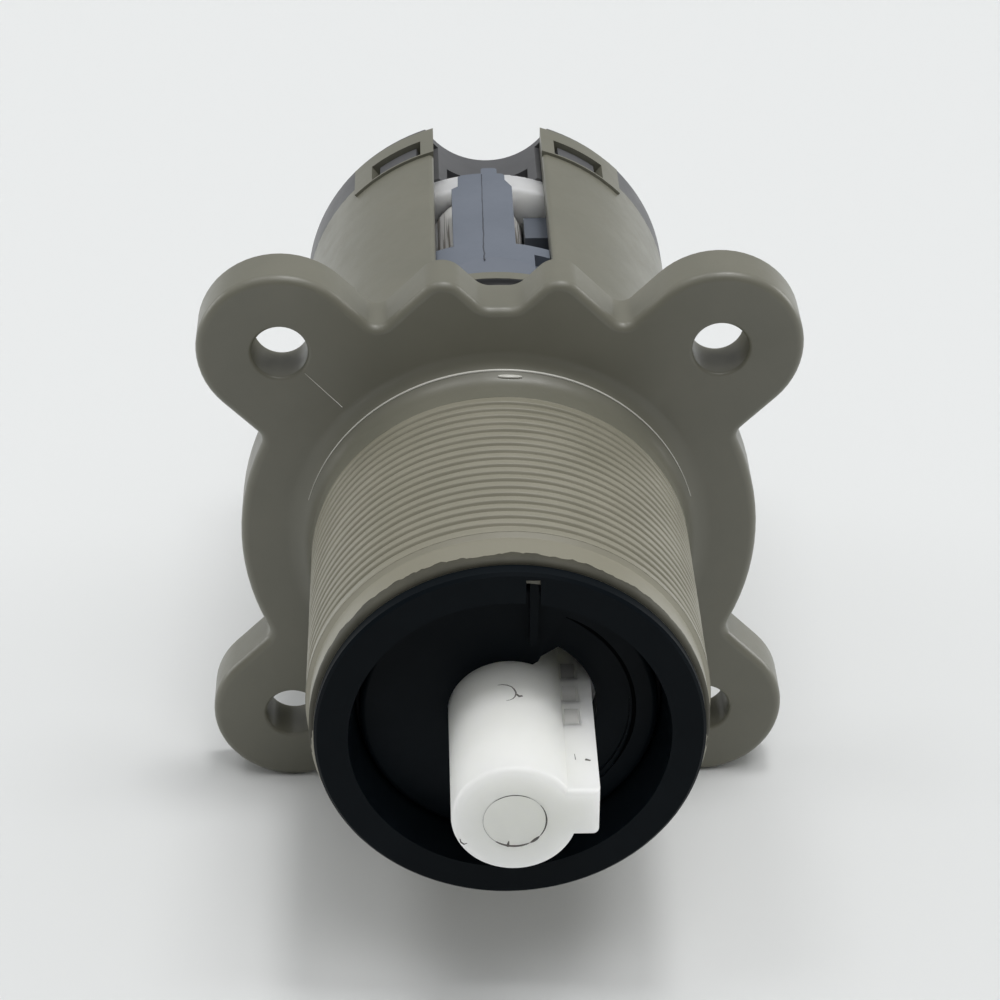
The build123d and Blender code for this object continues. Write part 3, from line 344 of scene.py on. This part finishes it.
def moulded_plastic(name, colour, tint, roughness, gloss):
    """Moulded plastic: broad clouds of a second tint, patchy gloss and a fine grain."""
    material, tree, shader = new_material(name)
    clouds = add_noise(tree, scale=90, detail=4.0, roughness=0.6)
    clouds = add_range(tree, clouds, span=(0.35, 0.65))
    tree.links.new(add_mix(tree, clouds, colour, tint), shader.inputs["Base Color"])
    patches = add_noise(tree, scale=260, detail=5.0, roughness=0.65)
    limits = (roughness - PATCH_BELOW, roughness + PATCH_ABOVE)
    patches = add_range(tree, patches, span=(0.3, 0.7), onto=limits)
    tree.links.new(patches, shader.inputs["Roughness"])
    shader.inputs["Specular IOR Level"].default_value = gloss
    add_bump(tree, shader, add_noise(tree, scale=9000, detail=2.0), distance=3e-6)
    return material


def wear_nose(material):
    """Lightens the collar's nose, ahead of the thread, to the tone of the worn thread."""
    tree = material.node_tree
    shader = tree.nodes["Principled BSDF"]
    where = tree.nodes.new("ShaderNodeTexCoord")
    axes = tree.nodes.new("ShaderNodeSeparateXYZ")
    tree.links.new(where.outputs["Object"], axes.inputs["Vector"])
    blend = (THREAD_FRONT * MM, (THREAD_FRONT + WORN_NOSE_BLEND) * MM)
    share = add_range(tree, axes.outputs["Y"], span=blend, onto=(1.0, 0.0))
    plain = shader.inputs["Base Color"].links[0].from_socket
    tree.links.new(add_mix(tree, share, plain, WORN_NOSE_COLOUR), shader.inputs["Base Color"])


def make_translucent(material):
    """Lets light travel about a centimetre through a white plastic."""
    shader = material.node_tree.nodes["Principled BSDF"]
    shader.inputs["Subsurface Weight"].default_value = 1.0
    shader.inputs["Subsurface Radius"].default_value = TRANSLUCENT_RADIUS
    shader.inputs["Subsurface Scale"].default_value = TRANSLUCENT_DEPTH


def rubber(name):
    """Dark rubber under an uneven film."""
    material, tree, shader = new_material(name)
    film = add_noise(tree, scale=400, detail=5.0, roughness=0.6)
    film = add_range(tree, film, span=(0.35, 0.7))
    colour = add_mix(tree, film, (0.004, 0.004, 0.0045), (0.011, 0.011, 0.011))
    tree.links.new(colour, shader.inputs["Base Color"])
    matt = add_range(tree, film, span=(0, 1), onto=(0.42, 0.6))
    tree.links.new(matt, shader.inputs["Roughness"])
    shader.inputs["Specular IOR Level"].default_value = 0.2
    add_bump(tree, shader, add_noise(tree, scale=5000, detail=2.0), distance=4e-6)
    return material


def streaked_steel(name, metallic, dark, light):
    """Steel with streaks along its axis; a low metallic share with a pale colour paints bright
    glints.
    """
    material, tree, shader = new_material(name)
    shader.inputs["Metallic"].default_value = metallic
    streaks = add_noise(tree, scale=1100, detail=2.0, stretch=(2, 0.06, 2))
    streaks = add_range(tree, streaks, span=(0.38, 0.56))
    tree.links.new(add_mix(tree, streaks, dark, light), shader.inputs["Base Color"])
    matt = add_range(tree, streaks, span=(0.3, 0.7), onto=(0.18, 0.34))
    tree.links.new(matt, shader.inputs["Roughness"])
    add_bump(tree, shader, streaks, distance=4e-6)
    return material


def ceramic(name):
    """Ground ceramic with faint clouds."""
    material, tree, shader = new_material(name)
    clouds = add_noise(tree, scale=500, detail=4.0)
    colour = add_mix(tree, clouds, (0.84, 0.83, 0.78), (0.90, 0.89, 0.85))
    tree.links.new(colour, shader.inputs["Base Color"])
    matt = add_range(tree, clouds, span=(0.3, 0.7), onto=(0.16, 0.26))
    tree.links.new(matt, shader.inputs["Roughness"])
    return material


def make_materials():
    """The materials by name; each slot's own material has the slot's name."""
    made = {name: moulded_plastic(name, *look) for name, look in PLASTICS.items()}
    wear_nose(made["olive_plastic"])
    make_translucent(made["white_plastic"])
    made["black_rubber"] = rubber("black_rubber")
    for name, look in STEELS.items():
        made[name] = streaked_steel(name, *look)
    made["ceramic"] = ceramic("ceramic")
    return made


def dress_nodes(materials):
    """Gives each CAD node its material, welded and with smooth normals between its creases."""
    for part in frame["record"]["subparts"]:
        name = part["node"]
        node = frame["nodes"][name]
        node.data.materials.clear()
        material = MATERIAL_BY_NODE.get(name, part["material_slot"])
        node.data.materials.append(materials[material])
        for polygon in node.data.polygons:
            polygon.use_smooth = True
        weld = node.modifiers.new("weld", "WELD")
        weld.merge_threshold = WELD_REACH
        split = node.modifiers.new("creases", "EDGE_SPLIT")
        split.split_angle = CREASE_ANGLE_BY_NODE.get(name, CREASE_ANGLE)


def mesh_object(name, vertices, faces, material, smooth=True):
    """An object with one material, made from vertices in metres."""
    mesh = bpy.data.meshes.new(name)
    mesh.from_pydata(vertices, [], faces)
    mesh.update()
    mesh.materials.append(material)
    for polygon in mesh.polygons:
        polygon.use_smooth = smooth
    piece = bpy.data.objects.new(name, mesh)
    bpy.context.scene.collection.objects.link(piece)
    return piece


def on_circle(radius, y, turn):
    """A point on a circle round the cartridge's axis, at a turn in radians."""
    return radius * cos(turn), y, radius * sin(turn)


def tube_faces(first, rings, sides, closed=False, capped=True):
    """Faces of a tube whose rings of points follow one another from the first point on."""
    faces = []
    for n in range(rings if closed else rings - 1):
        here, there = first + sides * n, first + sides * ((n + 1) % rings)
        for k in range(sides):
            following = (k + 1) % sides
            faces.append((here + k, there + k, there + following, here + following))
    if capped and not closed:
        last = first + sides * (rings - 1)
        faces.append(tuple(reversed(range(first, first + sides))))
        faces.append(tuple(range(last, last + sides)))
    return faces


def groove_depth(y, turn):
    """Depth of the helical groove at a station and a part of a turn: round, between flat crests."""
    from_middle = abs((y / THREAD_PITCH - turn) % 1.0 - 0.5) * THREAD_PITCH
    if from_middle > GROOVE_WIDTH / 2:
        return 0.0
    return GROOVE_DEPTH * cos(pi * from_middle / GROOVE_WIDTH) ** GROOVE_ROUNDNESS


def crest_radius(y, turn):
    """Radius of the thread's worn crests, a little uneven along the axis and around it."""
    along = WAVER_ALONG * sin(WAVES_ALONG * y)
    around = WAVER_AROUND * sin(WAVES_AROUND * 2 * pi * turn + WAVES_TWIST * y)
    return THREAD_MAJOR - CREST_WEAR + (along + around)


def add_thread(materials):
    """The collar's thread: flat crests, with one helical groove that runs out at both ends."""
    run_out = THREAD_PITCH / 3
    turns = [step / THREAD_STEPS for step in range(THREAD_STEPS)]
    ramp = (
        (NOSE_REAR - 0.5, NOSE_RADIUS - 0.02), (NOSE_REAR - 0.4, NOSE_RADIUS + 0.02),
        (NOSE_REAR - 0.07, THREAD_MAJOR - 0.08), (NOSE_REAR + 0.12, THREAD_MAJOR + 0.01),
    )
    rings = [(y, [radius] * THREAD_STEPS) for y, radius in ramp]
    rows = round((THREAD_REAR - THREAD_FRONT) / THREAD_PITCH * ROWS_PER_PITCH)
    for row in range(rows + 1):
        y = THREAD_FRONT + (THREAD_REAR - THREAD_FRONT) * row / rows
        share = max(0.0, min(1.0, (y - THREAD_FRONT) / run_out, (THREAD_REAR - y) / run_out))
        rings.append((y, [crest_radius(y, turn) - groove_depth(y, turn) * share for turn in turns]))
    vertices = []
    for y, radii in rings:
        for turn, radius in zip(turns, radii):
            vertices.append(tuple(v * MM for v in on_circle(radius, y, 2 * pi * turn)))
    faces = tube_faces(0, len(rings), THREAD_STEPS, capped=False)
    thread = mesh_object("collar_thread", vertices, faces, materials["worn_olive_plastic"])
    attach(thread, "cartridge_body")


def add_lip(materials):
    """Ragged moulding lip over the collar's upper front edge, fading out at both sides; its dark
    olive paints shade.
    """
    draw = random.Random(LIP_SEED)
    vertices = []
    rag = 0.0
    for n in range(LIP_STEPS + 1):
        degrees = LIP_START + LIP_SWEEP * n / LIP_STEPS
        share = sin(pi * n / LIP_STEPS)
        left = LEFT_REACH * max(0.0, min(1.0, (degrees - LEFT_START) / LEFT_SPREAD))
        rag = LIP_RAG_KEPT * rag + draw.uniform(-LIP_RAG, LIP_RAG)
        reach = share ** LIP_FADE * (LIP_REACH + left + rag)
        rear = CHAMFER_REAR + max(reach, LIP_LEAST_REACH)
        proud = LIP_THICKNESS * min(1.0, 4 * share) - LIP_SINK
        section = (
            (NOSE_RADIUS - LIP_EDGE_SINK, rear),
            (NOSE_RADIUS + proud, rear - LIP_EDGE),
            (NOSE_RADIUS + proud, CHAMFER_REAR - LIP_SINK),
            (NOSE_RADIUS - CHAMFER + proud, NOSE_FACE - proud),
            (NOSE_RADIUS - CHAMFER - LIP_EDGE, NOSE_FACE + LIP_SINK),
        )
        for radius, y in section:
            vertices.append(Vector(on_circle(radius, y, radians(degrees))) * MM)
    faces = tube_faces(0, LIP_STEPS + 1, len(section))
    lip = mesh_object("collar_lip", vertices, faces, materials["shaded_olive_plastic"])
    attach(lip, "cartridge_body")


def add_strip(vertices, faces, points, normals, widths, height, closed=False):
    """Adds a thin raised strip along points on a surface, sunk a little into it."""
    first, count = len(vertices), len(points)
    section = (
        (-STRIP_EDGE, -STRIP_SINK), (-STRIP_CREST, height),
        (STRIP_CREST, height), (STRIP_EDGE, -STRIP_SINK),
    )
    for n in range(count):
        here = Vector(points[n])
        last = points[n - 1] if closed or n else points[0]
        following = points[(n + 1) % count] if closed or n < count - 1 else points[n]
        normal = Vector(normals[n]).normalized()
        side = (Vector(following) - Vector(last)).normalized().cross(normal).normalized()
        for across, rise in section:
            vertices.append((here + side * widths[n] * across + normal * rise) * MM)
    faces.extend(tube_faces(first, count, len(section), closed))


def flat_strip(marks, normal, height, closed=False):
    """What add_strip takes for a strip on a flat face, from marks as x, y, z and width."""
    points = [mark[:3] for mark in marks]
    return points, [normal] * len(marks), [mark[3] for mark in marks], height, closed


def round_strip(marks, radius, height, lean=0):
    """What add_strip takes for a strip on top of a cylinder, from marks as x, y and width."""
    points = [(x, y, (radius ** 2 - x * x) ** 0.5) for x, y, _ in marks]
    return points, [(x, lean, z) for x, _, z in points], [mark[2] for mark in marks], height


def add_marks(name, strips, material, body):
    """One piece made of thin strips, each given as what add_strip takes."""
    vertices, faces = [], []
    for strip in strips:
        add_strip(vertices, faces, *strip)
    piece = mesh_object(name, vertices, faces, material)
    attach(piece, body)


def add_collar_marks(materials):
    """A bead round the collar's foot, a gate's vestige at the top and a line on the flange, in a
    pale olive that paints highlights.
    """
    painted_highlight = materials["painted_highlight_olive_plastic"]
    turns = [radians(BEAD_START + BEAD_STEP * n) for n in range(BEAD_POINTS)]
    bead = [on_circle(BEAD_RADIUS, BEAD_Y, turn) for turn in turns]
    normals = [on_circle(*BEAD_NORMAL, turn) for turn in turns]
    widths = [BEAD_END_WIDTH + BEAD_SWELL * sin(pi * n / (BEAD_POINTS - 1))
              for n in range(BEAD_POINTS)]
    add_marks("collar_bead", [(bead, normals, widths, BEAD_HEIGHT)],
              painted_highlight, "cartridge_body")
    add_marks("collar_vestige", [
        round_strip(VESTIGE, VESTIGE_RADIUS, height=0.14, lean=VESTIGE_LEAN),
        flat_strip(WITNESS_LINE, FRONT, height=0.03),
    ], painted_highlight, "cartridge_body")


def gate_point(degrees):
    """A point on the ring round the gate mark, on the stem's tip."""
    return on_circle(GATE_RADIUS, GATE_Y, radians(degrees))


def add_stem_marks(materials):
    """The gate's rough ring on the stem's tip, an ejector's half ring and small specks."""
    draw = random.Random(STEM_SEED)
    ring = [(*gate_point(degrees), draw.uniform(*GATE_RING_WIDTHS))
            for degrees in range(0, 360, GATE_RING_STEP)]
    add_marks("gate_ring", [flat_strip(ring, FRONT, height=0.02, closed=True)],
              materials["shaded_white_plastic"], "stem")
    strips = []
    for start, end, widest in GATE_ARCS:
        steps = max(4, abs(start - end) // GATE_ARC_STEP)
        arc = []
        for n in range(steps + 1):
            swell = widest * sin(pi * n / steps) ** GATE_ARC_ROUNDNESS
            width = GATE_ARC_END_WIDTH + swell + draw.uniform(0, GATE_ARC_RAG)
            arc.append((*gate_point(start + (end - start) * n / steps), width))
        strips.append(flat_strip(arc, FRONT, height=0.035))
    strips += [
        flat_strip(TIP_BURR, FRONT, height=0.04),
        flat_strip(TIP_NICK, FRONT, height=0.03),
        round_strip(EJECTOR_RING, STEM_RADIUS, height=0.02),
        round_strip(SPECK, STEM_RADIUS, height=0.04),
        flat_strip(FIN_TICK, UP, height=0.02),
        flat_strip(FIN_NICK, UP, height=0.04),
    ]
    add_marks("stem_marks", strips, materials["grime_and_painted_shade"], "stem")


def add_tooth_marks(materials):
    """Painted shade on the floors of the fin's teeth, and darker painted shade in their deepest
    corners.
    """
    slope = TOOTH_DEPTH / TOOTH_LENGTH
    bottom = FIN_TOP - TOOTH_DEPTH
    floors, creases = [], []
    for n in range(TOOTH_COUNT):
        wall = FIRST_TOOTH + TOOTH_PITCH * n
        floor = [(TOOTH_MIDDLE, wall + along, bottom + slope * along, TOOTH_FLOOR_WIDTH)
                 for along in (TOOTH_FLOOR_START, TOOTH_LENGTH * TOOTH_FLOOR_SHARE)]
        floors.append(flat_strip(floor, (0, -slope, 1), height=0.02))
        crease = [(x, wall + TOOTH_CREASE_INSET, bottom + TOOTH_CREASE_RISE, TOOTH_CREASE_WIDTH)
                  for x in TOOTH_CREASE_ENDS]
        creases.append(flat_strip(crease, (0, -slope, 1), height=0.04))
    add_marks("tooth_floors", floors, materials["shaded_white_plastic"], "stem")
    add_marks("tooth_creases", creases, materials["grime_and_painted_shade"], "stem")


def add_tongue_line(materials):
    """Parting line along the tongue in the window, rougher towards its front end, in a dark grey
    that paints its shade.
    """
    draw = random.Random(TONGUE_SEED)
    marks = []
    for n in range(TONGUE_STEPS + 1):
        rough = 1 + max(0, n - TONGUE_ROUGH_FROM) / TONGUE_ROUGH_SPREAD
        waver = draw.uniform(-TONGUE_WAVER, TONGUE_WAVER) * rough
        x = TONGUE_X - TONGUE_SLANT * n / TONGUE_STEPS + waver
        growth = TONGUE_LINE_GROWTH * n / TONGUE_STEPS
        width = TONGUE_LINE_WIDTH + growth + draw.uniform(0, TONGUE_LINE_RAG)
        marks.append((x, TONGUE_REAR - TONGUE_STEP * n, width))
    add_marks("tongue_line", [round_strip(marks, TONGUE_RADIUS, height=0.03)],
              materials["shaded_grey_plastic"], "cartridge_body")


def add_stop_line(materials):
    """Painted shadow: a dark line along the limit stop's curved step, and painted shade at the
    notch's end.
    """
    arc = []
    for n in range(STOP_STEP_COUNT + 1):
        turn = radians(STOP_STEP_START - STOP_STEP_TURN * n)
        width = min(
            SHADOW_LINE_END_WIDTH + SHADOW_LINE_GROWTH[0] * n,
            SHADOW_LINE_WIDTH,
            SHADOW_LINE_END_WIDTH + SHADOW_LINE_GROWTH[1] * (STOP_STEP_COUNT - n),
        )
        arc.append((*on_circle(STOP_STEP_RADIUS, STOP_STEP_FACE, turn), width))
    shade = [(NOTCH_X + across, NOSE_FACE - 0.02, NOTCH_Z, NOTCH_SHADE_WIDTH)
             for across in (-NOTCH_HALF, NOTCH_HALF)]
    add_marks("stop_line", [
        flat_strip(arc, FRONT, height=0.04),
        flat_strip(shade, FRONT, height=0.03),
    ], materials["shaded_black_plastic"], "cartridge_body")


def add_stage():
    """Pale floor that takes the object's shadow."""
    corners = [(x * FLOOR_REACH * MM, y * FLOOR_REACH * MM, FLOOR_Z * MM)
               for x, y in ((-1, -1), (1, -1), (1, 1), (-1, 1))]
    material, _, shader = new_material("studio_floor")
    shader.inputs["Base Color"].default_value = (*FLOOR_COLOUR, 1)
    shader.inputs["Roughness"].default_value = 1.0
    shader.inputs["Specular IOR Level"].default_value = 0.0
    floor = mesh_object("studio_floor", corners, [(0, 1, 2, 3)], material, smooth=False)


def add_world():
    """A studio that is bright behind the object, above it and at its sides, and dark in front."""
    world = bpy.data.worlds.new("studio")
    bpy.context.scene.world = world
    world.use_nodes = True
    tree = world.node_tree
    where = tree.nodes.new("ShaderNodeTexCoord")
    axes = tree.nodes.new("ShaderNodeSeparateXYZ")
    tree.links.new(where.outputs["Generated"], axes.inputs["Vector"])
    behind = add_range(tree, axes.outputs["Y"], BACK_SPAN, (WORLD_FRONT, WORLD_BACK))
    across = tree.nodes.new("ShaderNodeMath")
    across.operation = "ABSOLUTE"
    tree.links.new(axes.outputs["X"], across.inputs[0])
    beside = add_range(tree, across.outputs["Value"], SIDES_SPAN, (0.0, WORLD_SIDES))
    above = add_range(tree, axes.outputs["Z"], TOP_SPAN, (0.0, WORLD_TOP))
    total = behind
    for more in (beside, above):
        add = tree.nodes.new("ShaderNodeMath")
        tree.links.new(total, add.inputs[0])
        tree.links.new(more, add.inputs[1])
        total = add.outputs["Value"]
    background = tree.nodes["Background"]
    background.inputs["Color"].default_value = (*WORLD_COLOUR, 1)
    tree.links.new(total, background.inputs["Strength"])


def add_lamps():
    """Distant softboxes round the object."""
    for name, (towards, spread, share) in LAMPS.items():
        data = bpy.data.lights.new(name, "SUN")
        data.angle = radians(spread)
        data.energy = pi * share
        lamp = bpy.data.objects.new(name, data)
        bpy.context.scene.collection.objects.link(lamp)
        lamp.rotation_mode = "QUATERNION"
        lamp.rotation_quaternion = (-Vector(towards)).to_track_quat("-Z", "Y")


made_materials = make_materials()
add_camera()
dress_nodes(made_materials)
add_thread(made_materials)
add_lip(made_materials)
add_collar_marks(made_materials)
add_stem_marks(made_materials)
add_tooth_marks(made_materials)
add_tongue_line(made_materials)
add_stop_line(made_materials)
add_stage()
add_world()
add_lamps()
bpy.context.scene.view_settings.view_transform = "Standard"
